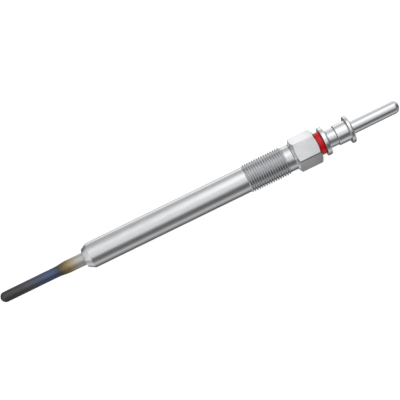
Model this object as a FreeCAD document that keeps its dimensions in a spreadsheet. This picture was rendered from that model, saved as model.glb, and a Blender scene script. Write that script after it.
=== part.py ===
import FreeCAD, Part
import os
import Sketcher

# Diesel glow plug with a metal sheath, lying on its side.
# The plug's axis is the X axis: the glow tip points to -X, the terminal to +X.
# The origin is on the axis where the sealing cone at the nose meets the round
# shank. One hexagon flat faces -Z and the opposite one +Z.

doc = FreeCAD.newDocument("GlowPlug")

# ---------------------------------------------------------------- dimensions
sheet = doc.addObject("Spreadsheet::Sheet", "Dims")
DIMS = [
    # housing, outside
    ("nose_length", 2.165, "sealing cone, from the nose face to the shank"),
    ("nose_radius", 3.20, "small end of the sealing cone"),
    ("shank_radius", 4.45, "round shank, clears the tapped hole"),
    ("shank_length", 57.30, "shank, from the cone to the thread"),
    ("thread_radius", 5.00, "crest radius of the external thread"),
    ("thread_bevel", 0.45, "bevel at each end of the thread"),
    ("thread_land", 13.60, "thread between its end bevels"),
    ("collar_length", 2.75, "collar between thread and hexagon"),
    ("hex_length", 8.80, "hexagon along the axis"),
    ("hex_across_flats", 10.75, "hexagon, for an 11 mm spanner"),
    ("hex_edge_bevel", 0.289, "bevel of the six long edges, along each flat"),
    ("hex_front_bevel", 4.50, "radius where the front bevel leaves the end face"),
    ("hex_rear_bevel", 4.85, "radius where the rear bevel leaves the end face"),
    ("hex_bevel_rise", 2.00, "height of the bevel cutters"),
    ("hex_bevel_depth", 1.00, "depth of the bevel cutters along the axis"),
    # housing, bore
    ("tube_seat_length", 17.165, "bore that grips the glow tube"),
    ("bore_radius", 2.80, "main bore"),
    ("bore_length", 65.20, "main bore, to the counterbore"),
    ("counterbore_radius", 3.10, "counterbore for the washer's spigot"),
    ("counterbore_length", 3.15, "depth of the counterbore"),
    # glow tube
    ("tip_distance", 32.90, "from the origin to the end of the tip"),
    ("tip_radius", 1.825, "swaged front part, outside"),
    ("tip_straight", 19.175, "swaged front part, from the rounded end to the taper"),
    ("taper_length", 3.00, "taper between the two diameters"),
    ("tube_radius", 2.20, "rear part, outside"),
    ("tube_rear_length", 22.90, "rear part, most of it inside the housing"),
    ("tip_inner_radius", 1.275, "swaged front part, inside"),
    ("tip_inner_length", 19.70, "swaged front part, inside"),
    ("tube_inner_radius", 1.65, "rear part, inside"),
    ("seal_length", 3.00, "ring that closes the tube's rear end"),
    # coils
    ("coil_radius", 0.80, "both coils, to the middle of the wire"),
    ("heating_wire", 0.20, "wire radius of the front coil"),
    ("heating_pitch", 0.70, "front coil"),
    ("heating_length", 9.80, "front coil, fourteen turns"),
    ("heating_lead", 0.80, "straight ends of the front coil"),
    ("control_wire", 0.22, "wire radius of the rear coil"),
    ("control_pitch", 0.85, "rear coil"),
    ("control_length", 14.45, "rear coil, seventeen turns"),
    ("control_lead", 0.70, "straight ends of the rear coil"),
    ("lead_radius", 0.26, "straight ends, thicker than the wire welded to them"),
    ("lead_overlap", 0.32, "how far a straight end runs past the wire's end"),
    # connecting rod
    ("rod_tip_radius", 1.10, "rod inside the glow tube"),
    ("rod_tip_length", 18.35, "rod inside the glow tube"),
    ("rod_radius", 1.60, "rod through the housing"),
    ("rod_length", 83.00, "rod from the tube's end to its own end"),
    # washer and upper seal
    ("bore_seal_length", 1.80, "upper seal along the axis"),
    ("bore_seal_edge", 0.45, "rounding of the upper seal"),
    ("washer_hole_radius", 1.70, "hole through the washer"),
    ("washer_radius", 3.90, "visible ring of the washer"),
    ("washer_thickness", 2.07, "visible ring of the washer"),
    # terminal
    ("flange_radius", 4.97, "flange beside the washer"),
    ("flange_thickness", 1.48, "flange beside the washer"),
    ("neck_radius", 3.08, "crimped neck"),
    ("neck_length", 3.25, "crimped neck, to the crease before the sleeve"),
    ("crease_radius", 2.93, "bottom of the crease"),
    ("crease_length", 0.20, "crease between neck and sleeve"),
    ("sleeve_radius", 3.54, "sleeve"),
    ("sleeve_length", 4.23, "sleeve"),
    ("stop_radius", 4.83, "flange beside the pin"),
    ("stop_thickness", 1.30, "flange beside the pin"),
    ("pin_radius", 2.20, "connector pin"),
    ("pin_length", 17.62, "connector pin, to its rounded end"),
    ("pin_rounding", 1.75, "rounding of the pin's end"),
    ("rod_bore_depth", 11.58, "blind bore that takes the rod"),
    ("flange_edge", 0.18, "rounding of the flanges' front edges"),
    ("flange_rear_edge", 0.32, "rounding of the rear edge of the flange on the washer"),
    ("stop_rear_edge", 0.55, "rounding of the rear edge of the flange beside the pin"),
    ("small_edge", 0.12, "rounding of the washer's and the sleeve's edges"),
]
VALUE = {}
for row, (alias, value, words) in enumerate(DIMS, start=1):
    sheet.set("A%d" % row, alias)
    sheet.set("B%d" % row, "%g" % value)
    sheet.setAlias("B%d" % row, alias)
    sheet.set("C%d" % row, words)
    VALUE[alias] = value
doc.recompute()

# stations along the axis, as signed lists of cells
TUBE_REAR = "-tip_distance +tip_radius +tip_straight +taper_length +tube_rear_length"
HEX_FRONT = "+shank_length +thread_bevel +thread_land +thread_bevel +collar_length"
HEX_REAR = HEX_FRONT + " +hex_length"
COUNTERBORE = HEX_REAR + " -counterbore_length"
TERMINAL = HEX_REAR + " +washer_thickness"
TUBE_FLOOR = TUBE_REAR + " -tube_rear_length -taper_length -tip_inner_length"
HEATING_START = TUBE_FLOOR + " +heating_lead"
COIL_JOINT = HEATING_START + " +heating_length +heating_lead"
CONTROL_START = COIL_JOINT + " +control_lead"
ROD_FRONT = CONTROL_START + " +control_length +control_lead"


# ------------------------------------------------------------------- helpers
def total(text):
    """Value in mm of a signed list of cells."""
    out = 0.0
    for word in text.split():
        out += VALUE[word[1:]] if word[0] == "+" else -VALUE[word[1:]]
    return out


def formula(text, sign=1):
    """The same list as a formula on the sheet."""
    out = " ".join(word[0] + " Dims." + word[1:] for word in text.split())
    return "0 mm + (" + out + ") * 1 mm" if sign > 0 else "0 mm - (" + out + ") * 1 mm"


def cell(alias):
    return "Dims." + alias


def origin_plane(body, role):
    for feature in body.Origin.OriginFeatures:
        if feature.Role == role:
            return feature
    raise RuntimeError("no plane " + role)


def new_body(name):
    body = doc.addObject("PartDesign::Body", name)
    body.Label = name
    return body


def new_sketch(body, name, role="XY_Plane"):
    sketch = body.newObject("Sketcher::SketchObject", name)
    sketch.AttachmentSupport = [(origin_plane(body, role), "")]
    sketch.MapMode = "FlatFace"
    return sketch


def axial(sketch, low, low_end, high, high_end, value, text, sign):
    """A positive distance along the axis from one sketch point to another."""
    c = sketch.addConstraint(Sketcher.Constraint("DistanceX", low, low_end, high, high_end, value))
    sketch.setExpression("Constraints[%d]" % c, formula(text, sign))


def radial(sketch, line, end, alias):
    """The distance of a sketch point from the axis."""
    c = sketch.addConstraint(Sketcher.Constraint("DistanceY", -1, 1, line, end, VALUE[alias]))
    sketch.setExpression("Constraints[%d]" % c, cell(alias))


def profile(sketch, station, radius, steps, round_nose=False):
    """Draw a closed half section over the axis.

    The first point is at the given station (a signed list of cells) and has
    the given radius cell, or lies on the axis when that is None. Each step is
    (move, radius): a move of None makes a radial line, and a radius of None
    an axial one; a radius of 0 ends on the axis. With round_nose the first
    step is a quarter circle centred on the axis.
    """
    points = [(total(station), VALUE[radius] if radius else 0.0)]
    for move, alias in steps:
        x, y = points[-1]
        if move is not None:
            x += total(move)
        if alias is not None:
            y = VALUE[alias] if alias else 0.0
        points.append((x, y))
    count = len(points)
    starts = [1] * count
    ends = [2] * count
    for i in range(count):
        ax, ay = points[i]
        bx, by = points[(i + 1) % count]
        if i == 0 and round_nose:
            circle = Part.Circle(FreeCAD.Vector(bx, 0, 0), FreeCAD.Vector(0, 0, 1), by)
            sketch.addGeometry(Part.ArcOfCircle(circle, 1.5707963267948966, 3.141592653589793), False)
            starts[0], ends[0] = 2, 1
        else:
            sketch.addGeometry(Part.LineSegment(FreeCAD.Vector(ax, ay, 0), FreeCAD.Vector(bx, by, 0)), False)
    for i in range(count):
        j = (i + 1) % count
        sketch.addConstraint(Sketcher.Constraint("Coincident", i, ends[i], j, starts[j]))

    x = points[0][0]
    if abs(x) < 1e-9:
        sketch.addConstraint(Sketcher.Constraint("PointOnObject", 0, starts[0], -2))
    elif x < 0:
        axial(sketch, 0, starts[0], -1, 1, -x, station, -1)
    else:
        axial(sketch, -1, 1, 0, starts[0], x, station, 1)
    if radius:
        radial(sketch, 0, starts[0], radius)
    else:
        sketch.addConstraint(Sketcher.Constraint("PointOnObject", 0, starts[0], -1))

    for i, (move, alias) in enumerate(steps):
        j = i + 1
        if i == 0 and round_nose:
            sketch.addConstraint(Sketcher.Constraint("PointOnObject", 0, 3, -1))
            sketch.addConstraint(Sketcher.Constraint("Vertical", 0, 3, 1, 1))
            radial(sketch, 1, 1, alias)
            continue
        if move is None:
            sketch.addConstraint(Sketcher.Constraint("Vertical", i))
        else:
            delta = points[j][0] - points[i][0]
            if delta > 0:
                axial(sketch, i, starts[i], j, starts[j], delta, move, 1)
            else:
                axial(sketch, j, starts[j], i, starts[i], -delta, move, -1)
        if alias is None:
            sketch.addConstraint(Sketcher.Constraint("Horizontal", i))
        elif alias:
            radial(sketch, j, starts[j], alias)
        else:
            sketch.addConstraint(Sketcher.Constraint("PointOnObject", j, starts[j], -1))
    doc.recompute()


def revolve(body, name, sketch, kind="PartDesign::Revolution"):
    feature = body.newObject(kind, name)
    feature.Profile = sketch
    feature.ReferenceAxis = (sketch, ["H_Axis"])
    feature.Angle = 360.0
    doc.recompute()
    return feature


def groove(body, name, sketch, base, least):
    """Turn the sketch out of the body, and see that it removed material."""
    before = base.Shape.Volume
    feature = revolve(body, name, sketch, "PartDesign::Groove")
    if before - feature.Shape.Volume < least:
        raise RuntimeError(name + " cut nothing")
    return feature


def rim(feature, station, radius):
    """Names of the circular edges about the axis at a station."""
    names = []
    for number, edge in enumerate(feature.Shape.Edges, start=1):
        curve = edge.Curve
        if not hasattr(curve, "Radius") or not hasattr(curve, "Center"):
            continue
        centre = curve.Center
        if abs(centre.x - station) < 1e-4 and abs(curve.Radius - radius) < 1e-4 \
                and abs(centre.y) < 1e-4 and abs(centre.z) < 1e-4:
            names.append("Edge%d" % number)
    if not names:
        raise RuntimeError("no edge at %g, radius %g" % (station, radius))
    return names


def fillet(body, name, base, edges, alias):
    feature = body.newObject("PartDesign::Fillet", name)
    feature.Base = (base, edges)
    feature.Radius = VALUE[alias]
    feature.setExpression("Radius", cell(alias))
    doc.recompute()
    return feature


def chamfer(body, name, base, edges, alias):
    feature = body.newObject("PartDesign::Chamfer", name)
    feature.Base = (base, edges)
    feature.Size = VALUE[alias]
    feature.setExpression("Size", cell(alias))
    doc.recompute()
    return feature


# ------------------------------------------------------------------- housing
# One turned and milled piece: sealing cone, shank, thread, collar, hexagon.
# The thread is held as its crest cylinder with bevelled ends.
housing = new_body("housing")
outline = new_sketch(housing, "HousingOutline")
profile(outline, "-nose_length", None, [
    (None, "nose_radius"),
    ("+nose_length", "shank_radius"),
    ("+shank_length", None),
    ("+thread_bevel", "thread_radius"),
    ("+thread_land", None),
    ("+thread_bevel", "shank_radius"),
    ("+collar_length +hex_length", None),
    (None, 0),
])
turned = revolve(housing, "HousingTurned", outline)

corner = VALUE["hex_across_flats"] / 3 ** 0.5
half = VALUE["hex_across_flats"] / 2
hexagon = new_sketch(housing, "HexagonOutline", "YZ_Plane")
hexagon.AttachmentOffset = FreeCAD.Placement(FreeCAD.Vector(0, 0, total(HEX_FRONT)), FreeCAD.Rotation())
hexagon.setExpression("AttachmentOffset.Base.z", formula(HEX_FRONT))
ring = [(corner, 0), (corner / 2, half), (-corner / 2, half),
        (-corner, 0), (-corner / 2, -half), (corner / 2, -half)]
for i in range(6):
    ax, ay = ring[i]
    bx, by = ring[(i + 1) % 6]
    hexagon.addGeometry(Part.LineSegment(FreeCAD.Vector(ax, ay, 0), FreeCAD.Vector(bx, by, 0)), False)
hexagon.addGeometry(Part.Circle(FreeCAD.Vector(0, 0, 0), FreeCAD.Vector(0, 0, 1), corner), True)
for i in range(6):
    hexagon.addConstraint(Sketcher.Constraint("Coincident", i, 2, (i + 1) % 6, 1))
hexagon.addConstraint(Sketcher.Constraint("Coincident", 6, 3, -1, 1))
for i in range(6):
    hexagon.addConstraint(Sketcher.Constraint("PointOnObject", i, 1, 6))
for i in range(1, 5):
    hexagon.addConstraint(Sketcher.Constraint("Equal", 0, i))
hexagon.addConstraint(Sketcher.Constraint("PointOnObject", 0, 1, -1))
c = hexagon.addConstraint(Sketcher.Constraint("Radius", 6, corner))
hexagon.setExpression("Constraints[%d]" % c, "Dims.hex_across_flats / (2 * cos(30 deg))")
doc.recompute()

hex_pad = housing.newObject("PartDesign::Pad", "Hexagon")
hex_pad.Profile = hexagon
hex_pad.Length = VALUE["hex_length"]
hex_pad.setExpression("Length", cell("hex_length"))
doc.recompute()

long_edges = []
for number, edge in enumerate(hex_pad.Shape.Edges, start=1):
    if len(edge.Vertexes) != 2:
        continue
    a, b = (vertex.Point for vertex in edge.Vertexes)
    if abs((a.y ** 2 + a.z ** 2) ** 0.5 - corner) < 1e-3 and abs((b - a).x) > 0.9 * VALUE["hex_length"]:
        long_edges.append("Edge%d" % number)
if len(long_edges) != 6:
    raise RuntimeError("expected six long edges, found %d" % len(long_edges))
hex_edges = chamfer(housing, "HexagonEdges", hex_pad, long_edges, "hex_edge_bevel")


def bevel(name, station, alias, direction, base):
    """Cut the hexagon's corners at one end with a cone.

    The cutter's section is a right triangle: out along the end face, along
    the axis, and back down the cone.
    """
    sketch = new_sketch(housing, name + "Outline")
    x = total(station)
    low = VALUE[alias]
    high = low + VALUE["hex_bevel_rise"]
    far = x + VALUE["hex_bevel_depth"] * direction
    points = [(x, low), (x, high), (far, high)]
    for i in range(3):
        ax, ay = points[i]
        bx, by = points[(i + 1) % 3]
        sketch.addGeometry(Part.LineSegment(FreeCAD.Vector(ax, ay, 0), FreeCAD.Vector(bx, by, 0)), False)
    for i in range(3):
        sketch.addConstraint(Sketcher.Constraint("Coincident", i, 2, (i + 1) % 3, 1))
    sketch.addConstraint(Sketcher.Constraint("Vertical", 0))
    sketch.addConstraint(Sketcher.Constraint("Horizontal", 1))
    axial(sketch, -1, 1, 0, 1, x, station, 1)
    radial(sketch, 0, 1, alias)
    c = sketch.addConstraint(Sketcher.Constraint("DistanceY", 0, 1, 0, 2, high - low))
    sketch.setExpression("Constraints[%d]" % c, cell("hex_bevel_rise"))
    if direction > 0:
        axial(sketch, 1, 1, 1, 2, far - x, "+hex_bevel_depth", 1)
    else:
        axial(sketch, 1, 2, 1, 1, x - far, "+hex_bevel_depth", 1)
    doc.recompute()
    return groove(housing, name, sketch, base, 1.0)


front_bevel = bevel("FrontBevel", HEX_FRONT, "hex_front_bevel", 1, hex_edges)
rear_bevel = bevel("RearBevel", HEX_REAR, "hex_rear_bevel", -1, front_bevel)

# stepped bore: seat of the glow tube, main bore, counterbore
bore_outline = new_sketch(housing, "BoreOutline")
profile(bore_outline, "-nose_length", None, [
    (None, "tube_radius"),
    ("+tube_seat_length", None),
    (None, "bore_radius"),
    ("+bore_length", None),
    (None, "counterbore_radius"),
    ("+counterbore_length", None),
    (None, 0),
])
bore = groove(housing, "Bore", bore_outline, rear_bevel, 1000.0)
housing.Tip = bore

# ----------------------------------------------------------------- glow tube
# Closed, rounded at the tip, swaged to a smaller diameter in front. Its rear
# end is gripped by the housing's nose.
glow_tube = new_body("glow_tube")
tube_outline = new_sketch(glow_tube, "TubeOutline")
profile(tube_outline, "-tip_distance", None, [
    ("+tip_radius", "tip_radius"),
    ("+tip_straight", None),
    ("+taper_length", "tube_radius"),
    ("+tube_rear_length", None),
    (None, "tube_inner_radius"),
    ("-tube_rear_length", None),
    ("-taper_length", "tip_inner_radius"),
    ("-tip_inner_length", None),
    (None, 0),
], round_nose=True)
glow_tube.Tip = revolve(glow_tube, "TubeTurned", tube_outline)


# --------------------------------------------------------------------- coils
def coil(label, start, wire, pitch, length, lead):
    """A helix of round wire about the axis with a straight lead at each end.

    The leads lie straight below the axis, at the coil's own radius.
    """
    turn = FreeCAD.Rotation(FreeCAD.Vector(0, 1, 0), 90)
    helix = doc.addObject("Part::Helix", label + "_line")
    helix.Placement = FreeCAD.Placement(FreeCAD.Vector(total(start), 0, 0), turn)
    helix.setExpression("Placement.Base.x", formula(start))
    helix.setExpression("Pitch", cell(pitch))
    helix.setExpression("Height", cell(length))
    helix.setExpression("Radius", cell("coil_radius"))
    ring = doc.addObject("Part::Circle", label + "_section")
    ring.Placement = FreeCAD.Placement(
        FreeCAD.Vector(total(start), 0, -VALUE["coil_radius"]),
        FreeCAD.Rotation(FreeCAD.Vector(1, 0, 0), 90))
    ring.setExpression("Placement.Base.x", formula(start))
    ring.setExpression("Placement.Base.z", "-Dims.coil_radius * 1 mm")
    ring.setExpression("Radius", cell(wire))
    doc.recompute()
    winding = doc.addObject("Part::Sweep", label + "_winding")
    winding.Sections = [ring]
    winding.Spine = (helix, ["Edge1"])
    winding.Solid = True
    winding.Frenet = True
    doc.recompute()
    leads = []
    for name, first in (("front", start + " -" + lead),
                        ("rear", start + " +" + length + " -lead_overlap")):
        piece = doc.addObject("Part::Cylinder", label + "_" + name + "_lead")
        piece.Placement = FreeCAD.Placement(
            FreeCAD.Vector(total(first), 0, -VALUE["coil_radius"]), turn)
        piece.setExpression("Placement.Base.x", formula(first))
        piece.setExpression("Placement.Base.z", "-Dims.coil_radius * 1 mm")
        piece.setExpression("Radius", cell("lead_radius"))
        piece.setExpression("Height", formula("+" + lead + " +lead_overlap"))
        leads.append(piece)
    whole = doc.addObject("Part::MultiFuse", label)
    whole.Shapes = [winding] + leads
    whole.Label = label
    doc.recompute()
    return whole


heating_coil = coil("heating_coil", HEATING_START, "heating_wire",
                    "heating_pitch", "heating_length", "heating_lead")
control_coil = coil("control_coil", CONTROL_START, "control_wire",
                    "control_pitch", "control_length", "control_lead")

# ------------------------------------------------------------ connecting rod
# Slimmer inside the glow tube, and one diameter from there to the terminal.
connecting_rod = new_body("connecting_rod")
rod_outline = new_sketch(connecting_rod, "RodOutline")
profile(rod_outline, ROD_FRONT, None, [
    (None, "rod_tip_radius"),
    ("+rod_tip_length", None),
    (None, "rod_radius"),
    ("+rod_length", None),
    (None, 0),
])
connecting_rod.Tip = revolve(connecting_rod, "RodTurned", rod_outline)

# --------------------------------------------------------- filling and seals
# The powder fills the tube in front of its seal, round both coils and the rod.
filling_body = new_body("filling_space")
filling_outline = new_sketch(filling_body, "FillingOutline")
profile(filling_outline, TUBE_FLOOR, None, [
    (None, "tip_inner_radius"),
    ("+tip_inner_length", None),
    ("+taper_length", "tube_inner_radius"),
    ("+tube_rear_length -seal_length", None),
    (None, 0),
])
filling_body.Tip = revolve(filling_body, "FillingTurned", filling_outline)
held = doc.addObject("Part::MultiFuse", "held_in_filling")
held.Shapes = [heating_coil, control_coil, connecting_rod]
doc.recompute()
magnesia_filling = doc.addObject("Part::Cut", "magnesia_filling")
magnesia_filling.Base = filling_body
magnesia_filling.Tool = held
magnesia_filling.Label = "magnesia_filling"
doc.recompute()

tube_seal = new_body("tube_seal")
seal_outline = new_sketch(tube_seal, "TubeSealOutline")
profile(seal_outline, TUBE_REAR + " -seal_length", "rod_tip_radius", [
    (None, "tube_inner_radius"),
    ("+seal_length", None),
    (None, "rod_tip_radius"),
])
tube_seal.Tip = revolve(tube_seal, "TubeSealTurned", seal_outline)

bore_seal = new_body("bore_seal")
bore_seal_outline = new_sketch(bore_seal, "BoreSealOutline")
profile(bore_seal_outline, COUNTERBORE + " -bore_seal_length", "rod_radius", [
    (None, "bore_radius"),
    ("+bore_seal_length", None),
    (None, "rod_radius"),
])
seal_turned = revolve(bore_seal, "BoreSealTurned", bore_seal_outline)
seal_ends = (total(COUNTERBORE + " -bore_seal_length"), total(COUNTERBORE))
seal_rims = []
for station in seal_ends:
    for radius in ("rod_radius", "bore_radius"):
        seal_rims += rim(seal_turned, station, VALUE[radius])
bore_seal.Tip = fillet(bore_seal, "BoreSealEdges", seal_turned, seal_rims, "bore_seal_edge")

# --------------------------------------------------------- insulating washer
# A ring between hexagon and terminal, with a spigot in the counterbore.
insulating_washer = new_body("insulating_washer")
washer_outline = new_sketch(insulating_washer, "WasherOutline")
profile(washer_outline, COUNTERBORE, "washer_hole_radius", [
    (None, "counterbore_radius"),
    ("+counterbore_length", None),
    (None, "washer_radius"),
    ("+washer_thickness", None),
    (None, "washer_hole_radius"),
])
washer_turned = revolve(insulating_washer, "WasherTurned", washer_outline)
washer_rims = rim(washer_turned, total(HEX_REAR), VALUE["washer_radius"])
washer_rims += rim(washer_turned, total(TERMINAL), VALUE["washer_radius"])
insulating_washer.Tip = fillet(insulating_washer, "WasherEdges", washer_turned, washer_rims, "small_edge")

# ------------------------------------------------------------------ terminal
# One turned piece: flange, crimped neck, sleeve, second flange, round pin. A
# blind bore in its front takes the rod.
terminal = new_body("terminal")
terminal_outline = new_sketch(terminal, "TerminalOutline")
profile(terminal_outline, TERMINAL, "rod_radius", [
    (None, "flange_radius"),
    ("+flange_thickness", None),
    (None, "neck_radius"),
    ("+neck_length", None),
    (None, "crease_radius"),
    ("+crease_length", None),
    (None, "sleeve_radius"),
    ("+sleeve_length", None),
    (None, "stop_radius"),
    ("+stop_thickness", None),
    (None, "pin_radius"),
    ("+pin_length", None),
    (None, 0),
    ("-pin_length -stop_thickness -sleeve_length -crease_length -neck_length -flange_thickness +rod_bore_depth",
     None),
    (None, "rod_radius"),
])
terminal_turned = revolve(terminal, "TerminalTurned", terminal_outline)
flange_end = TERMINAL + " +flange_thickness"
sleeve_start = flange_end + " +neck_length +crease_length"
stop_start = sleeve_start + " +sleeve_length"
stop_end = stop_start + " +stop_thickness"
pin_end = stop_end + " +pin_length"
pin_round = fillet(terminal, "PinEnd", terminal_turned,
                   rim(terminal_turned, total(pin_end), VALUE["pin_radius"]), "pin_rounding")
front_rims = (rim(pin_round, total(TERMINAL), VALUE["flange_radius"])
              + rim(pin_round, total(stop_start), VALUE["stop_radius"]))
front_round = fillet(terminal, "FlangeFrontEdges", pin_round, front_rims, "flange_edge")
flange_round = fillet(terminal, "FlangeRearEdge", front_round,
                      rim(front_round, total(flange_end), VALUE["flange_radius"]), "flange_rear_edge")
stop_round = fillet(terminal, "StopRearEdge", flange_round,
                    rim(flange_round, total(stop_end), VALUE["stop_radius"]), "stop_rear_edge")
terminal.Tip = fillet(terminal, "SleeveEdge", stop_round,
                      rim(stop_round, total(sleeve_start), VALUE["sleeve_radius"]), "small_edge")
doc.recompute()

# --------------------------------------------------------------------- write
PIECES = [housing, glow_tube, heating_coil, control_coil, magnesia_filling,
          tube_seal, connecting_rod, bore_seal, insulating_washer, terminal]
for thing in doc.Objects:
    if "Invalid" in thing.State or "Error" in thing.State:
        raise RuntimeError("%s failed: %s" % (thing.Name, thing.State))
for piece in PIECES:
    shape = piece.Shape
    if shape.isNull() or not shape.isValid():
        raise RuntimeError(piece.Label + " has no valid shape")
    if len(shape.Solids) != 1:
        raise RuntimeError(piece.Label + " is not one solid")
    box = shape.BoundBox
    print("%-18s solids %d faces %3d volume %9.3f  x %8.3f %8.3f  y %7.3f %7.3f  z %7.3f %7.3f" % (
        piece.Label, len(shape.Solids), len(shape.Faces), shape.Volume,
        box.XMin, box.XMax, box.YMin, box.YMax, box.ZMin, box.ZMax))

os.makedirs("parts", exist_ok=True)
for piece in PIECES:
    piece.Shape.exportStep("parts/" + piece.Label + ".step")
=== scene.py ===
import bpy
import math
from mathutils import Matrix, Vector


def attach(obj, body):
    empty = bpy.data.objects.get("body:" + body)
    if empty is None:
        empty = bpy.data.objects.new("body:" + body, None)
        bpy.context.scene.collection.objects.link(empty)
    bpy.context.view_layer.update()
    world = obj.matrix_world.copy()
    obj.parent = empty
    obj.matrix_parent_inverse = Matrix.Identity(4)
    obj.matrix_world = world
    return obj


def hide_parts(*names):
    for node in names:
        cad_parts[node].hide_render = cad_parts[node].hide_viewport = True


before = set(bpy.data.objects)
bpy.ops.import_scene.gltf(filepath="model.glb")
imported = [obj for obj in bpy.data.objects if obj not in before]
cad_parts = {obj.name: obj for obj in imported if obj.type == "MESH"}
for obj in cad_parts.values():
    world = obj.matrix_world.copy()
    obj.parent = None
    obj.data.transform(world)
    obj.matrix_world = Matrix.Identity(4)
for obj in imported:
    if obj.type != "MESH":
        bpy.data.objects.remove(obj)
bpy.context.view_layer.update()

MM = 0.001

# ------------------------------------------------------------------ sizes, mm
# The plug's axis is X. The tip points to -X and the connector pin to +X.
HEX_FRONT, HEX_REAR = 74.55, 83.35
HEX_APOTHEM, HEX_CORNER = 5.375, 6.062          # to the flats and to the narrow chamfers between them
BEVEL_FRONT, BEVEL_REAR, BEVEL_SLOPE = 4.50, 4.85, 2.0
THREAD_A, THREAD_B = 57.30, 71.80
THREAD_FADE = 71.68     # the last ridge runs out here
CREST, ROOT, PITCH = 5.0, 4.32, 0.858
CREST_AT = 64.926       # a crest is here on the +Y side
TERMINAL_X = 85.42      # the terminal's front face


# ---------------------------------------------------------------- mesh helpers
def rounded(points, radii, steps=4):
    """A polyline of (x, r) with its corners rounded. A radius of 0 keeps the corner."""
    out = []
    last = len(points) - 1
    for i, (p, rad) in enumerate(zip(points, radii)):
        if rad <= 0 or i in (0, last):
            out.append(tuple(p))
            continue
        p = Vector(p)
        a = (Vector(points[i - 1]) - p)
        b = (Vector(points[i + 1]) - p)
        la, lb = a.length, b.length
        a.normalize()
        b.normalize()
        half = math.acos(max(-1, min(1, a.dot(b)))) / 2
        t = rad / math.tan(half)
        if t > 0.95 * min(la, lb):
            t = 0.95 * min(la, lb)
            rad = t * math.tan(half)
        mid = (a + b).normalized()
        c = p + mid * (rad / math.sin(half))
        u = (p + a * t) - c
        v = (p + b * t) - c
        turn = math.atan2(u.x * v.y - u.y * v.x, u.dot(v))
        for k in range(steps + 1):
            s = turn * k / steps
            out.append((c.x + u.x * math.cos(s) - u.y * math.sin(s),
                        c.y + u.x * math.sin(s) + u.y * math.cos(s)))
    return out


def circle_angles(count):
    return [2 * math.pi * k / count for k in range(count)]


def turned(name, rings, angles, crease=30.0, smooth_zone=None):
    """A turned mesh about X, in metres, from rings of (x, r) in mm.

    A ring is (x, r), or a function of the angle that gives (x, r). A ring with
    r = 0 is a point on the axis. With no such points the rings close into a
    tube. crease is the angle in degrees above which an edge is sharp, apart
    from edges whose two ends lie inside smooth_zone = (low x, high x, low r).
    """
    verts, index = [], []
    for ring in rings:
        if not callable(ring) and ring[1] <= 1e-9:
            index.append([len(verts)])
            verts.append((ring[0] * MM, 0.0, 0.0))
            continue
        row = []
        for a in angles:
            x, r = ring(a) if callable(ring) else ring
            row.append(len(verts))
            verts.append((x * MM, r * math.cos(a) * MM, r * math.sin(a) * MM))
        index.append(row)
    faces = []
    count = len(angles)
    closed = all(len(row) > 1 for row in index)
    pairs = list(zip(index, index[1:]))
    if closed:
        pairs.append((index[-1], index[0]))
    for low, high in pairs:
        for k in range(count):
            j = (k + 1) % count
            if len(low) == 1:
                faces.append((low[0], high[j], high[k]))
            elif len(high) == 1:
                faces.append((low[k], low[j], high[0]))
            else:
                faces.append((low[k], low[j], high[j], high[k]))
    mesh = bpy.data.meshes.new(name)
    mesh.from_pydata(verts, [], faces)
    mesh.validate()
    mesh.polygons.foreach_set("use_smooth", [True] * len(mesh.polygons))
    mesh.update()
    # outward faces: the sign of the volume says which way they point
    volume = 0.0
    for poly in mesh.polygons:
        vs = [mesh.vertices[i].co for i in poly.vertices]
        for k in range(1, len(vs) - 1):
            volume += vs[0].dot(vs[k].cross(vs[k + 1]))
    if volume < 0:
        mesh.flip_normals()
    mesh.set_sharp_from_angle(angle=math.radians(crease))
    if smooth_zone:
        xa, xb, rl = (v * MM for v in smooth_zone)
        for edge in mesh.edges:
            if edge.use_edge_sharp:
                ends = [mesh.vertices[i].co for i in edge.vertices]
                if all(xa < p.x < xb and math.hypot(p.y, p.z) > rl for p in ends):
                    edge.use_edge_sharp = False
    obj = bpy.data.objects.new(name, mesh)
    bpy.context.scene.collection.objects.link(obj)
    return obj


# -------------------------------------------------------------------- housing
def hex_angles():
    """Even angles, with the borders of the hexagon's corner chamfers among them."""
    out = []
    for a in circle_angles(144):
        off = (math.degrees(a) + 30) % 60 - 30
        if abs(off) > 3.0 or abs(off) < 0.01:
            out.append(a)
    for k in range(6):
        out += [(math.radians(60 * k + f)) % (2 * math.pi) for f in (-CHAMFER, CHAMFER)]
    return sorted(out)


CHAMFER = math.degrees(math.atan((HEX_APOTHEM / HEX_CORNER - math.cos(math.radians(30))) / 0.5))


def hex_radius(a):
    off = (math.degrees(a) + 30) % 60 - 30
    d = math.radians(off)
    return min(HEX_CORNER / math.cos(d), HEX_APOTHEM / math.cos(math.radians(30) - abs(d)))


def hex_rim(end, low, direction, k, steps=4, rad=0.14):
    """Ring k of the rounded rim between an end's bevel cone and the hexagon's sides."""
    tilt = math.atan(BEVEL_SLOPE)
    s = tilt * (1 - k / steps)

    def ring(a):
        r = hex_radius(a)
        x = (r - low) / BEVEL_SLOPE + rad * math.tan(tilt / 2) - rad * math.sin(s)
        return end + direction * x, r - rad + rad * math.cos(s)
    return ring


def thread_radius(x, a):
    """Right-hand thread with flat crests and roots, fading into bevels at its ends."""
    phase = ((x - CREST_AT) / PITCH - a / (2 * math.pi)) % 1.0
    t = 2 * min(phase, 1 - phase)          # 0 at the crest, 1 at the root
    flat_c, flat_r = 0.12, 0.14
    s = min(1.0, max(0.0, (t - flat_c) / (1 - flat_c - flat_r)))
    s = s * 0.75 + (s * s * (3 - 2 * s)) * 0.25
    r = CREST + (ROOT - CREST) * s
    low = 4.45 + (min(x - THREAD_A, THREAD_FADE - x)) * 1.25
    return min(r, max(low, ROOT))


def thread_ring(x):
    return lambda a: (x, thread_radius(x, a))


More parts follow.
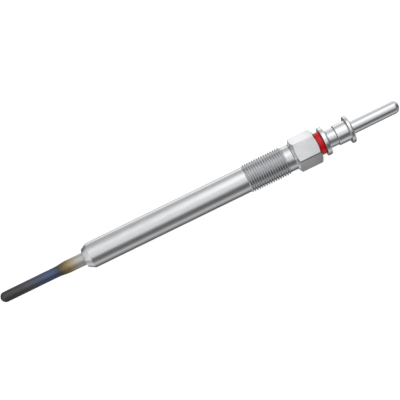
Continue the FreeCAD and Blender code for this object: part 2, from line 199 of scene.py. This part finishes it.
def make_housing():
    front = rounded(
        [(-2.165, 2.2), (-2.165, 3.20), (0.0, 4.45), (THREAD_A, 4.45)],
        [0, 0.12, 0.15, 0])
    rings = list(front)
    steps = int(round((THREAD_B - THREAD_A) / PITCH * 16))
    for k in range(1, steps):
        rings.append(thread_ring(THREAD_A + (THREAD_B - THREAD_A) * k / steps))
    foot = HEX_FRONT - (BEVEL_FRONT - 4.45) / BEVEL_SLOPE
    rings += rounded([(THREAD_B, 4.45), (foot, 4.45), (foot + 0.3, 4.45 + 0.3 * BEVEL_SLOPE)],
                     [0, 0.35, 0], 6)[:-1]
    rings += [hex_rim(HEX_FRONT, BEVEL_FRONT, 1, k) for k in range(5)]
    rings += [hex_rim(HEX_REAR, BEVEL_REAR, -1, 4 - k) for k in range(5)]
    rings += [(HEX_REAR, BEVEL_REAR), (HEX_REAR, 3.1), (80.2, 3.1), (80.2, 2.8), (15.0, 2.8), (15.0, 2.2)]
    return turned("shell", rings, hex_angles(), 24.0, (THREAD_A + 0.02, THREAD_B - 0.02, 4.2))


def make_glow_tube():
    tip = []
    for k in range(0, 17):
        s = math.pi / 2 * k / 16
        tip.append((-31.075 - 1.825 * math.cos(s), 1.825 * math.sin(s)))
    tip[0] = (-32.9, 0.0)
    taper = rounded([(-31.0, 1.825), (-11.9, 1.825), (-8.9, 2.2), (14.0, 2.2)], [0, 7.0, 7.0, 0], 8)
    rings = tip + taper + [(14.0, 1.65), (-8.9, 1.65), (-11.9, 1.275), (-31.6, 1.275), (-31.6, 0.0)]
    return turned("sheath", rings, circle_angles(96), 30.0)


def make_washer():
    rings = rounded([(80.2, 1.7), (80.2, 3.1), (HEX_REAR, 3.1), (HEX_REAR, 3.90), (TERMINAL_X, 3.90),
                     (TERMINAL_X, 1.7)],
                    [0, 0, 0, 0.12, 0.12, 0])
    return turned("red_ring", rings, circle_angles(96), 30.0)


def make_terminal():
    """Flange, neck, sleeve, second flange and pin. A fine crease marks the neck's end."""
    outside = rounded(
        [(TERMINAL_X, 1.6), (TERMINAL_X, 4.97), (86.90, 4.97), (86.90, 3.08), (90.15, 3.08), (90.15, 2.93),
         (90.35, 2.93), (90.35, 3.54), (94.58, 3.54), (94.58, 4.83), (95.88, 4.83), (95.88, 2.20),
         (113.5, 2.20), (113.5, 0.0)],
        [0, 0.16, 0.32, 0.12, 0.05, 0.04, 0.04, 0.12, 0.12, 0.16, 0.55, 0.12, 1.75, 0], 10)
    rings = [(97.0, 0.0), (97.0, 1.6)] + outside
    return turned("contact", rings, circle_angles(96), 30.0)


shell = make_housing()
sheath = make_glow_tube()
red_ring = make_washer()
contact = make_terminal()


# ------------------------------------------------------------------ materials
def material(name):
    mat = bpy.data.materials.new(name)
    mat.use_nodes = True
    tree = mat.node_tree
    tree.nodes.clear()
    out = tree.nodes.new("ShaderNodeOutputMaterial")
    shader = tree.nodes.new("ShaderNodeBsdfPrincipled")
    tree.links.new(shader.outputs["BSDF"], out.inputs["Surface"])
    return mat, tree, shader


def coords(tree, scale):
    tex = tree.nodes.new("ShaderNodeTexCoord")
    mapping = tree.nodes.new("ShaderNodeMapping")
    mapping.inputs["Scale"].default_value = scale
    tree.links.new(tex.outputs["Object"], mapping.inputs["Vector"])
    return mapping.outputs["Vector"]


def noise(tree, vector, scale, detail=3.0, rough=0.5):
    node = tree.nodes.new("ShaderNodeTexNoise")
    node.inputs["Scale"].default_value = scale
    node.inputs["Detail"].default_value = detail
    node.inputs["Roughness"].default_value = rough
    tree.links.new(vector, node.inputs["Vector"])
    return node.outputs["Fac"]


def remap(tree, value, low, high, from_low=0.3, from_high=0.7):
    node = tree.nodes.new("ShaderNodeMapRange")
    node.inputs["From Min"].default_value = from_low
    node.inputs["From Max"].default_value = from_high
    node.inputs["To Min"].default_value = low
    node.inputs["To Max"].default_value = high
    tree.links.new(value, node.inputs["Value"])
    return node.outputs["Result"]


def tint(tree, value, dark, light):
    node = tree.nodes.new("ShaderNodeValToRGB")
    node.color_ramp.elements[0].position = 0.3
    node.color_ramp.elements[0].color = (*dark, 1)
    node.color_ramp.elements[1].position = 0.7
    node.color_ramp.elements[1].color = (*light, 1)
    tree.links.new(value, node.inputs["Fac"])
    return node.outputs["Color"]


def bump(tree, shader, height, strength, distance):
    node = tree.nodes.new("ShaderNodeBump")
    node.inputs["Strength"].default_value = strength
    node.inputs["Distance"].default_value = distance
    tree.links.new(height, node.inputs["Height"])
    tree.links.new(node.outputs["Normal"], shader.inputs["Normal"])


def painted_groove_shade(tree, colour):
    """Painted shade and painted highlight: the colour, darker towards the bottom of the thread's grooves and lighter on
    the crests.
    """
    tex = tree.nodes.new("ShaderNodeTexCoord")
    split = tree.nodes.new("ShaderNodeSeparateXYZ")
    tree.links.new(tex.outputs["Object"], split.inputs[0])
    flat = tree.nodes.new("ShaderNodeCombineXYZ")
    tree.links.new(split.outputs["Y"], flat.inputs["Y"])
    tree.links.new(split.outputs["Z"], flat.inputs["Z"])
    size = tree.nodes.new("ShaderNodeVectorMath")
    size.operation = "LENGTH"
    tree.links.new(flat.outputs[0], size.inputs[0])
    factor = remap(tree, size.outputs["Value"], GROOVE_SHADE - 1, CREST_HIGHLIGHT - 1, (ROOT + 0.04) * MM,
                   (CREST - 0.06) * MM)
    begin = remap(tree, split.outputs["X"], 0.0, 1.0, (THREAD_A + 0.10) * MM, (THREAD_A + 0.30) * MM)
    end = remap(tree, split.outputs["X"], 1.0, 0.0, (THREAD_B - 0.30) * MM, (THREAD_B - 0.10) * MM)
    for operation, value in (("MULTIPLY", begin), ("MULTIPLY", end), ("ADD", None)):
        node = tree.nodes.new("ShaderNodeMath")
        node.operation = operation
        tree.links.new(factor, node.inputs[0])
        if value is None:
            node.inputs[1].default_value = 1.0
        else:
            tree.links.new(value, node.inputs[1])
        factor = node.outputs[0]
    return scaled(tree, colour, factor)


def scaled(tree, colour, factor):
    node = tree.nodes.new("ShaderNodeVectorMath")
    node.operation = "SCALE"
    tree.links.new(colour, node.inputs[0])
    tree.links.new(factor, node.inputs["Scale"])
    return node.outputs["Vector"]


def smooth_step(tree, value, low, high, first, last):
    node = tree.nodes.new("ShaderNodeMapRange")
    node.interpolation_type = "SMOOTHSTEP"
    for name, number in (("From Min", low), ("From Max", high), ("To Min", first), ("To Max", last)):
        node.inputs[name].default_value = number
    tree.links.new(value, node.inputs["Value"])
    return node.outputs["Result"]


def painted_end_face_shade(tree, colour, tone):
    """Painted shade: the colour, darker on the faces square to the axis, up to the pin's end."""
    tex = tree.nodes.new("ShaderNodeTexCoord")
    split = tree.nodes.new("ShaderNodeSeparateXYZ")
    tree.links.new(tex.outputs["Normal"], split.inputs[0])
    size = tree.nodes.new("ShaderNodeMath")
    size.operation = "ABSOLUTE"
    tree.links.new(split.outputs["X"], size.inputs[0])
    factor = smooth_step(tree, size.outputs[0], 0.90, 0.985, 1.0, tone)
    place_at = tree.nodes.new("ShaderNodeSeparateXYZ")
    tree.links.new(tex.outputs["Object"], place_at.inputs[0])
    most = tree.nodes.new("ShaderNodeMath")
    most.operation = "MAXIMUM"
    tree.links.new(factor, most.inputs[0])
    tree.links.new(smooth_step(tree, place_at.outputs["X"], 100 * MM, 101 * MM, 0.0, 1.0), most.inputs[1])
    return scaled(tree, colour, most.outputs[0])


def painted_corner_shade(tree, colour, lines):
    """Painted shade: thin dark lines round the plug, in its inner corners.

    Each line is (middle, half width, tone, side): X in mm, and the y in mm
    below which the line is left out, or None when it goes all round.
    """
    tex = tree.nodes.new("ShaderNodeTexCoord")
    split = tree.nodes.new("ShaderNodeSeparateXYZ")
    tree.links.new(tex.outputs["Object"], split.inputs[0])
    for middle, half, tone, side in lines:
        gap = tree.nodes.new("ShaderNodeMath")
        gap.operation = "SUBTRACT"
        tree.links.new(split.outputs["X"], gap.inputs[0])
        gap.inputs[1].default_value = middle * MM
        size = tree.nodes.new("ShaderNodeMath")
        size.operation = "ABSOLUTE"
        tree.links.new(gap.outputs[0], size.inputs[0])
        factor = smooth_step(tree, size.outputs[0], 0.35 * half * MM, half * MM, tone, 1.0)
        if side is not None:
            line_left_out = smooth_step(tree, split.outputs["Y"], (side - 0.5) * MM, (side + 0.5) * MM, 1.0, 0.0)
            most = tree.nodes.new("ShaderNodeMath")
            most.operation = "MAXIMUM"
            tree.links.new(factor, most.inputs[0])
            tree.links.new(line_left_out, most.inputs[1])
            factor = most.outputs[0]
        colour = scaled(tree, colour, factor)
    return colour


def painted_rim_shade(tree, colour, tone):
    """Painted shade: a thin dark line along the rim between the hexagon's front bevel and its upper flat."""
    tex = tree.nodes.new("ShaderNodeTexCoord")
    split = tree.nodes.new("ShaderNodeSeparateXYZ")
    tree.links.new(tex.outputs["Object"], split.inputs[0])

    def sum_of(operation, first, second):
        node = tree.nodes.new("ShaderNodeMath")
        node.operation = operation
        for socket, value in zip(node.inputs, (first, second)):
            if isinstance(value, (int, float)):
                socket.default_value = value
            else:
                tree.links.new(value, socket)
        return node.outputs[0]

    on_cone = sum_of("SUBTRACT", HEX_APOTHEM * MM, split.outputs["Z"])
    flat = tree.nodes.new("ShaderNodeCombineXYZ")
    tree.links.new(split.outputs["Y"], flat.inputs["Y"])
    tree.links.new(split.outputs["Z"], flat.inputs["Z"])
    size = tree.nodes.new("ShaderNodeVectorMath")
    size.operation = "LENGTH"
    tree.links.new(flat.outputs[0], size.inputs[0])
    cone_x = sum_of("DIVIDE", sum_of("SUBTRACT", size.outputs["Value"], BEVEL_FRONT * MM), BEVEL_SLOPE)
    on_flat = sum_of("SUBTRACT", sum_of("SUBTRACT", split.outputs["X"], HEX_FRONT * MM), cone_x)
    away = sum_of("MAXIMUM", on_cone, on_flat)
    colour = scaled(tree, colour, smooth_step(tree, away, 0.05 * MM, 0.28 * MM, tone, 1.0))
    # painted highlight: the bevel itself is a little brighter, down to where it turns to the side
    band = smooth_step(tree, split.outputs["X"], (HEX_FRONT - 0.05) * MM, HEX_FRONT * MM, 0.0, BEVEL_HIGHLIGHT - 1)
    upper = smooth_step(tree, split.outputs["Y"], -2.4 * MM, -1.2 * MM, 0.0, 1.0)
    sloped = smooth_step(tree, on_flat, 0.02 * MM, 0.06 * MM, 1.0, 0.0)
    return scaled(tree, colour, sum_of("ADD", sum_of("MULTIPLY", sum_of("MULTIPLY", band, upper), sloped), 1.0))


# painted shade in the thread's roots and painted highlight on its crests, as colour factors
GROOVE_SHADE, CREST_HIGHLIGHT = 0.84, 1.09
# painted shade on the hexagon's rim and painted highlight on its front bevel
RIM_SHADE, BEVEL_HIGHLIGHT = 0.42, 1.30
# painted shade in the inner corners of the housing and the terminal: (middle, half width, tone, side)
HOUSING_CORNER_SHADE = [(74.25, 0.17, 0.10, -0.9)]
TERMINAL_CORNER_SHADE = [(87.25, 0.28, 0.45, -1.1), (90.27, 0.20, 0.55, -1.1), (94.44, 0.24, 0.50, -1.1)]


def turned_metal(name, dark, light, rough, lathe=0.08, grooves=False, lines=(), end_face_shade=1.0, zones=()):
    """Plated steel with fine turning marks round the axis and a faint cloudiness, and optional painted shade and
    painted highlight.

    Each zone is (low x, high x, added roughness), X in mm.
    """
    mat, tree, shader = material(name)
    shader.inputs["Metallic"].default_value = 1.0
    clouds = noise(tree, coords(tree, (260, 900, 900)), 1.0, 4.0, 0.55)
    marks = noise(tree, coords(tree, (14000, 60, 60)), 1.0, 2.0, 0.6)
    colour = tint(tree, clouds, dark, light)
    # painted shade in the thread's grooves and on the hexagon's rim, painted highlight on the crests and front bevel
    if grooves:
        colour = painted_rim_shade(tree, painted_groove_shade(tree, colour), RIM_SHADE)
    # painted shade in the inner corners
    if lines:
        colour = painted_corner_shade(tree, colour, lines)
    # painted shade on the faces square to the axis
    if end_face_shade < 1.0:
        colour = painted_end_face_shade(tree, colour, end_face_shade)
    tree.links.new(colour, shader.inputs["Base Color"])
    mix = tree.nodes.new("ShaderNodeMath")
    mix.operation = "ADD"
    tree.links.new(remap(tree, clouds, rough - 0.02, rough + 0.02), mix.inputs[0])
    tree.links.new(remap(tree, marks, -0.015, 0.015), mix.inputs[1])
    if zones:
        tex = tree.nodes.new("ShaderNodeTexCoord")
        split = tree.nodes.new("ShaderNodeSeparateXYZ")
        tree.links.new(tex.outputs["Object"], split.inputs[0])
    for low, high, more in zones:
        begin = smooth_step(tree, split.outputs["X"], (low - 0.1) * MM, (low + 0.1) * MM, 0.0, more)
        end = smooth_step(tree, split.outputs["X"], (high - 0.1) * MM, (high + 0.1) * MM, 0.0, -more)
        for value in (begin, end):
            total = tree.nodes.new("ShaderNodeMath")
            total.operation = "ADD"
            tree.links.new(mix.outputs[0], total.inputs[0])
            tree.links.new(value, total.inputs[1])
            mix = total
    tree.links.new(mix.outputs[0], shader.inputs["Roughness"])
    bump(tree, shader, marks, lathe, 0.00001)
    return mat


# both steels carry painted shade in their inner corners and on end faces; the housing's also has painted shade in the
# thread and on the hexagon's rim, and painted highlight on the crests and bevel
plated = turned_metal("plated_steel", (0.675, 0.682, 0.697), (0.740, 0.748, 0.764), 0.20, grooves=True,
                      lines=HOUSING_CORNER_SHADE, end_face_shade=0.75)
bright = turned_metal("terminal_steel", (0.765, 0.773, 0.790), (0.820, 0.828, 0.846), 0.12, 0.06,
                      lines=TERMINAL_CORNER_SHADE, end_face_shade=0.40, zones=((87.0, 90.25, 0.14), (95.9, 114.0, 0.04)))
drawn = turned_metal("rod_steel", (0.50, 0.50, 0.50), (0.58, 0.58, 0.58), 0.35)
wire = turned_metal("coil_wire", (0.42, 0.40, 0.37), (0.52, 0.50, 0.46), 0.40)

# heat-tinted tube: the colours run along X
sheath_mat, tree, shader = material("sheath_alloy")
shader.inputs["Metallic"].default_value = 1.0
tex = tree.nodes.new("ShaderNodeTexCoord")
split = tree.nodes.new("ShaderNodeSeparateXYZ")
tree.links.new(tex.outputs["Object"], split.inputs[0])
wander = noise(tree, coords(tree, (120, 300, 300)), 1.0, 3.0, 0.6)
shift = tree.nodes.new("ShaderNodeMath")
shift.operation = "ADD"
tree.links.new(split.outputs["X"], shift.inputs[0])
tree.links.new(remap(tree, wander, -0.0006, 0.0006), shift.inputs[1])
along = remap(tree, shift.outputs[0], 0.0, 1.0, -0.0329, 0.0)
ramp = tree.nodes.new("ShaderNodeValToRGB")
tree.links.new(along, ramp.inputs["Fac"])
TINTS = [
    (-32.9, (0.088, 0.088, 0.088)),
    (-24.5, (0.105, 0.106, 0.109)),
    (-21.0, (0.116, 0.127, 0.147)),
    (-17.5, (0.112, 0.134, 0.196)),
    (-15.0, (0.106, 0.143, 0.250)),
    (-13.2, (0.098, 0.136, 0.236)),
    (-12.0, (0.100, 0.107, 0.128)),
    (-11.3, (0.115, 0.108, 0.098)),
    (-10.2, (0.205, 0.155, 0.092)),
    (-8.6, (0.335, 0.250, 0.132)),
    (-7.0, (0.455, 0.385, 0.262)),
    (-5.2, (0.535, 0.505, 0.435)),
    (-3.4, (0.555, 0.555, 0.545)),
    (-1.0, (0.545, 0.555, 0.560)),
]
elements = ramp.color_ramp.elements
while len(elements) > 1:
    elements.remove(elements[-1])
for k, (x, colour) in enumerate(TINTS):
    where = (x + 32.9) / 32.9
    e = elements[0] if k == 0 else elements.new(where)
    e.position = where
    e.color = (*colour, 1)
tree.links.new(ramp.outputs["Color"], shader.inputs["Base Color"])
grain = noise(tree, coords(tree, (5000, 2500, 2500)), 1.0, 2.0, 0.6)
tree.links.new(remap(tree, grain, 0.42, 0.54), shader.inputs["Roughness"])
bump(tree, shader, grain, 0.15, 0.00001)

# painted shade on the red ring where it meets the terminal's front face
RING_CORNER_SHADE = [(85.33, 0.30, 0.62, None)]
red_mat, tree, shader = material("red_insulator")
speck = noise(tree, coords(tree, (1500, 1500, 1500)), 1.0, 3.0, 0.5)
tree.links.new(painted_corner_shade(tree, tint(tree, speck, (0.64, 0.0015, 0.003), (0.72, 0.002, 0.005)), RING_CORNER_SHADE), shader.inputs["Base Color"])
tree.links.new(remap(tree, speck, 0.24, 0.32), shader.inputs["Roughness"])
shader.inputs["Specular IOR Level"].default_value = 0.35
bump(tree, shader, speck, 0.08, 0.00002)

rubber_mat, tree, shader = material("seal_rubber")
speck = noise(tree, coords(tree, (3000, 3000, 3000)), 1.0, 3.0, 0.5)
tree.links.new(tint(tree, speck, (0.012, 0.012, 0.012), (0.03, 0.03, 0.03)), shader.inputs["Base Color"])
tree.links.new(remap(tree, speck, 0.6, 0.8), shader.inputs["Roughness"])
bump(tree, shader, speck, 0.1, 0.00002)

powder_mat, tree, shader = material("magnesia")
speck = noise(tree, coords(tree, (6000, 6000, 6000)), 1.0, 4.0, 0.6)
tree.links.new(tint(tree, speck, (0.74, 0.73, 0.70), (0.86, 0.85, 0.82)), shader.inputs["Base Color"])
tree.links.new(remap(tree, speck, 0.8, 0.95), shader.inputs["Roughness"])
bump(tree, shader, speck, 0.3, 0.00002)

for obj, node, slot_name, mat in (
        (shell, "housing", "plated_steel", plated),
        (sheath, "glow_tube", "sheath_alloy", sheath_mat),
        (red_ring, "insulating_washer", "red_insulator", red_mat),
        (contact, "terminal", "terminal_steel", bright)):
    obj.data.materials.append(mat)
    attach(obj, "root")
    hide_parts(node)

for node, mat in (("heating_coil", wire), ("control_coil", wire), ("magnesia_filling", powder_mat),
                  ("tube_seal", rubber_mat), ("connecting_rod", drawn), ("bore_seal", rubber_mat)):
    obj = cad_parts[node]
    obj.data.materials.clear()
    obj.data.materials.append(mat)

# ---------------------------------------------------------------------- stage
# The floor touches the nose edge and the front of the hexagon's lower flat. It
# is a white light table, so shadows on it stay faint.
scene = bpy.context.scene
nose_at = Vector((0.0, 0.0, -4.45)) * MM
hex_at = Vector((HEX_FRONT + (HEX_APOTHEM - BEVEL_FRONT) / BEVEL_SLOPE, 0.0, -HEX_APOTHEM)) * MM
slope = math.atan2(nose_at.z - hex_at.z, hex_at.x - nose_at.x)
bpy.ops.mesh.primitive_plane_add(size=12.0)
floor = bpy.context.object
floor.name = "floor"
floor.rotation_euler = (0.0, slope, 0.0)
floor.location = nose_at - Vector((0, 0, 0.00001))
floor_mat, tree, shader = material("pale_floor")
shader.inputs["Base Color"].default_value = (0.80, 0.80, 0.80, 1)
shader.inputs["Roughness"].default_value = 0.9
shader.inputs["Specular IOR Level"].default_value = 0.1
shader.inputs["Emission Color"].default_value = (1, 1, 1, 1)
shader.inputs["Emission Strength"].default_value = 0.70
floor.data.materials.append(floor_mat)
floor.visible_glossy = False

# --------------------------------------------------------------------- camera
# The camera looks down on the plug. Its right and up are turned in the plan so
# that the plug's axis rises to the right by 26 degrees.
TURN = math.radians(26.02)
LENS_PX, CENTRE_PX = 1100.0, 195.0
TILT_X = math.atan((212.0 - CENTRE_PX) / LENS_PX)     # towards the tip
TILT_Y = math.radians(2.65)                           # towards -Y
DISTANCE = LENS_PX / 3.02                             # mm
AIM = Vector((40.52, 0.585, 0.0))
back = Vector((-math.sin(TILT_X), -math.sin(TILT_Y), 1.0)).normalized()
axis_seen = (Vector((1, 0, 0)) - back * back.x).normalized()
side_seen = back.cross(axis_seen)
right = axis_seen * math.cos(TURN) - side_seen * math.sin(TURN)
up = axis_seen * math.sin(TURN) + side_seen * math.cos(TURN)
cam_data = bpy.data.cameras.new("camera")
cam_data.sensor_width = 36.0
cam_data.lens = 36.0 * LENS_PX / 400.0
cam_data.clip_start, cam_data.clip_end = 0.01, 20.0
cam = bpy.data.objects.new("camera", cam_data)
scene.collection.objects.link(cam)
place = Matrix((right, up, back)).transposed().to_4x4()
place.translation = (AIM + back * DISTANCE) * MM
cam.matrix_world = place
scene.camera = cam


# --------------------------------------------------------------------- lights
# A light tent with long soft strips along the plug. Each list gives the tent's
# brightness by the angle round the plug's axis, in degrees from straight up,
# positive towards -Y (the lower side of the picture).
MIDDLE = [(-180, 0.22), (-165, 0.40), (-150, 0.62), (-138, 0.86), (-122, 1.30), (-112, 0.96), (-100, 0.60), (-86, 0.55),
          (-73, 0.60), (-60, 0.77), (-46, 0.98), (-34, 1.05), (-20, 1.04), (-8, 0.96), (8, 0.90), (18, 0.84),
          (26, 0.67), (34, 0.315), (44, 0.182), (60, 0.163), (70, 0.24), (84, 0.50), (96, 0.66), (108, 0.43),
          (122, 0.28), (136, 0.118), (156, 0.166), (180, 0.22)]
FRONT_TONE = {-138: 0.92, -122: 0.93, -112: 0.74, -100: 0.82, -86: 0.95, -73: 0.90, -60: 0.86, -46: 0.87,
              18: 1.04, 26: 1.12, 70: 0.92}
FRONT = [(a, v * FRONT_TONE.get(a, 1.0)) for a, v in MIDDLE]
REAR = [(a, v * (1.0 + 0.46 * max(0.0, 1 - ((a + 42) / 34.0) ** 2))) for a, v in MIDDLE]
HEX_TONE = {-150: 0.98, -138: 1.00, -122: 1.12, -100: 1.02, -86: 1.06, -73: 1.14, -60: 1.12, -46: 0.98, -34: 0.91,
            -20: 0.92, -8: 1.01, 8: 0.98, 18: 0.75, 26: 0.60, 34: 0.60, 44: 0.74, 60: 0.97, 70: 1.08, 84: 1.10,
            96: 1.08, 108: 1.08, 122: 1.12}
HEX = [(a, v * HEX_TONE.get(a, 1.0)) for a, v in REAR]
FLANGE_TONE = {-150: 0.87, -138: 0.80, -122: 0.86, -112: 0.92, -100: 1.08, -86: 0.99, -73: 1.07, -60: 0.90, -46: 0.81,
               -34: 0.78, -20: 0.81, -8: 0.865, 8: 0.66, 18: 0.51, 26: 0.45, 34: 0.515, 44: 0.785, 60: 0.90, 70: 0.97,
               84: 0.78, 96: 0.69, 108: 0.75, 122: 0.765, 136: 0.92}
FLANGE = [(a, v * FLANGE_TONE.get(a, 1.0)) for a, v in REAR]
PIN_TONE = {-150: 0.92, -138: 0.90, -122: 0.92, -112: 0.97, -100: 1.05, -86: 1.06, -73: 1.15, -46: 0.92, -34: 0.89,
            -20: 0.90, -8: 0.93, 8: 0.82, 18: 0.67, 26: 0.58, 34: 0.62, 44: 0.80, 60: 0.92, 70: 1.02, 84: 0.97,
            96: 0.95, 122: 0.90, 136: 0.92}
PIN = [(a, v * PIN_TONE.get(a, 1.0)) for a, v in REAR]
TIP_END = [(-180, 0.30), (-154, 0.205), (-135, 0.14), (-120, 0.165), (-107, 0.31), (-94, 0.55), (-82, 0.69),
           (-70, 0.735), (-57, 0.775), (-43, 0.80), (-29, 0.845), (-15, 0.90), (0, 0.93), (15, 0.89), (29, 0.91),
           (43, 0.99), (57, 0.87), (70, 0.47), (82, 0.385), (94, 0.51), (107, 0.745), (120, 0.81), (135, 0.55),
           (154, 0.35), (180, 0.30)]
PIN_END = [(-180, 0.40), (-150, 0.46), (-120, 0.76), (-90, 0.78), (-50, 0.68), (-25, 0.30), (0, 0.14), (45, 0.18),
           (90, 0.32), (135, 0.46), (180, 0.40)]
TIP_POLE, PIN_POLE = 0.12, 0.14
# from below towards the tip, by the X of the direction: on the +Y side and on the -Y side
BELOW_LEFT = [(-0.95, 0.90), (-0.86, 1.12), (-0.80, 1.12), (-0.75, 1.00), (-0.70, 0.86), (-0.66, 0.60),
              (-0.57, 0.52), (-0.34, 0.42), (-0.20, 0.25)]
BELOW_RIGHT = [(-0.95, 0.90), (-0.86, 1.00), (-0.84, 0.90), (-0.80, 0.70), (-0.75, 0.57), (-0.68, 0.58),
               (-0.60, 0.95), (-0.50, 0.78), (-0.40, 0.50), (-0.30, 0.34), (-0.20, 0.25)]

world = bpy.data.worlds.new("studio")
scene.world = world
world.use_nodes = True
tree = world.node_tree
tree.nodes.clear()


def link_math(operation, first, second):
    node = tree.nodes.new("ShaderNodeMath")
    node.operation = operation
    for socket, value in zip(node.inputs, (first, second)):
        if isinstance(value, (int, float)):
            socket.default_value = value
        else:
            tree.links.new(value, socket)
    return node.outputs[0]


def strips(value, stops, low=-180.0, high=180.0):
    """A grey ramp of a 0 to 1 value. The stops are given on the scale low to high."""
    node = tree.nodes.new("ShaderNodeValToRGB")
    elements = node.color_ramp.elements
    while len(elements) > 1:
        elements.remove(elements[-1])
    for k, (place_at, grey) in enumerate(stops):
        where = (place_at - low) / (high - low)
        e = elements[0] if k == 0 else elements.new(where)
        e.position = where
        e.color = (grey, grey, grey, 1)
    tree.links.new(value, node.inputs["Fac"])
    return node.outputs["Color"]


def between(value, low, high):
    node = tree.nodes.new("ShaderNodeMapRange")
    node.interpolation_type = "SMOOTHSTEP"
    node.inputs["From Min"].default_value = low
    node.inputs["From Max"].default_value = high
    tree.links.new(value, node.inputs["Value"])
    return node.outputs["Result"]


def socket_of(node, name, kind, outputs=False):
    return next(x for x in (node.outputs if outputs else node.inputs) if x.name == name and x.type == kind)


def blended_colour(factor, first, second):
    node = tree.nodes.new("ShaderNodeMix")
    node.data_type = "RGBA"
    tree.links.new(factor, socket_of(node, "Factor", "VALUE"))
    tree.links.new(first, socket_of(node, "A", "RGBA"))
    tree.links.new(second, socket_of(node, "B", "RGBA"))
    return socket_of(node, "Result", "RGBA", True)


where = tree.nodes.new("ShaderNodeTexCoord")
parts = tree.nodes.new("ShaderNodeSeparateXYZ")
tree.links.new(where.outputs["Generated"], parts.inputs[0])
turn = link_math("ARCTAN2", link_math("MULTIPLY", parts.outputs["Y"], -1.0), parts.outputs["Z"])
turn = link_math("ADD", link_math("DIVIDE", turn, 2 * math.pi), 0.5)
along_x = parts.outputs["X"]
tent = blended_colour(between(along_x, -0.13, -0.05), strips(turn, FRONT), strips(turn, MIDDLE))
tent = blended_colour(between(along_x, -0.04, 0.03), tent, strips(turn, REAR))
tent = blended_colour(between(along_x, 0.050, 0.075), tent, strips(turn, HEX))
tent = blended_colour(between(along_x, 0.168, 0.173), tent, strips(turn, FLANGE))
tent = blended_colour(between(along_x, 0.190, 0.195), tent, strips(turn, PIN))
tent = blended_colour(between(along_x, 0.44, 0.64), tent, strips(turn, PIN_END))
tent = blended_colour(between(along_x, 0.86, 0.94), tent, strips(turn, [(0, PIN_POLE)]))
tent = blended_colour(between(along_x, -0.30, -0.58), tent, strips(turn, TIP_END))
from_low = link_math("ADD", along_x, 1.0)
left = link_math("MULTIPLY", between(turn, 0.078, 0.062), between(along_x, -0.16, -0.34))
tent = blended_colour(left, tent, strips(from_low, BELOW_LEFT, -1.0, 0.0))
right_side = link_math("MULTIPLY", between(turn, 0.922, 0.938), between(along_x, -0.16, -0.34))
tent = blended_colour(right_side, tent, strips(from_low, BELOW_RIGHT, -1.0, 0.0))
tent = blended_colour(between(along_x, -0.93, -0.98), tent, strips(turn, [(0, TIP_POLE)]))
tent_light = tree.nodes.new("ShaderNodeBackground")
tree.links.new(tent, tent_light.inputs["Color"])
plain = tree.nodes.new("ShaderNodeBackground")
plain.inputs["Color"].default_value = (1, 1, 1, 1)
plain.inputs["Strength"].default_value = 1.0
rays = tree.nodes.new("ShaderNodeLightPath")
seen = tree.nodes.new("ShaderNodeMixShader")
tree.links.new(rays.outputs["Is Camera Ray"], seen.inputs[0])
tree.links.new(tent_light.outputs[0], seen.inputs[1])
tree.links.new(plain.outputs[0], seen.inputs[2])
world_out = tree.nodes.new("ShaderNodeOutputWorld")
tree.links.new(seen.outputs[0], world_out.inputs["Surface"])

# one broad overhead lamp for the soft shading of the plastic and the floor
lamp = bpy.data.lights.new("overhead", "AREA")
lamp.shape = "RECTANGLE"
lamp.size, lamp.size_y = 1.6, 1.6
lamp.energy = 0.35 * math.pi * 1.6 * 1.6
overhead = bpy.data.objects.new("overhead", lamp)
scene.collection.objects.link(overhead)
overhead.location = (0.04, 0.35, 1.0)
overhead.rotation_euler = (-math.atan2(0.35, 1.0), 0.0, 0.0)
overhead.visible_camera = False
overhead.visible_glossy = False

scene.view_settings.view_transform = "Standard"
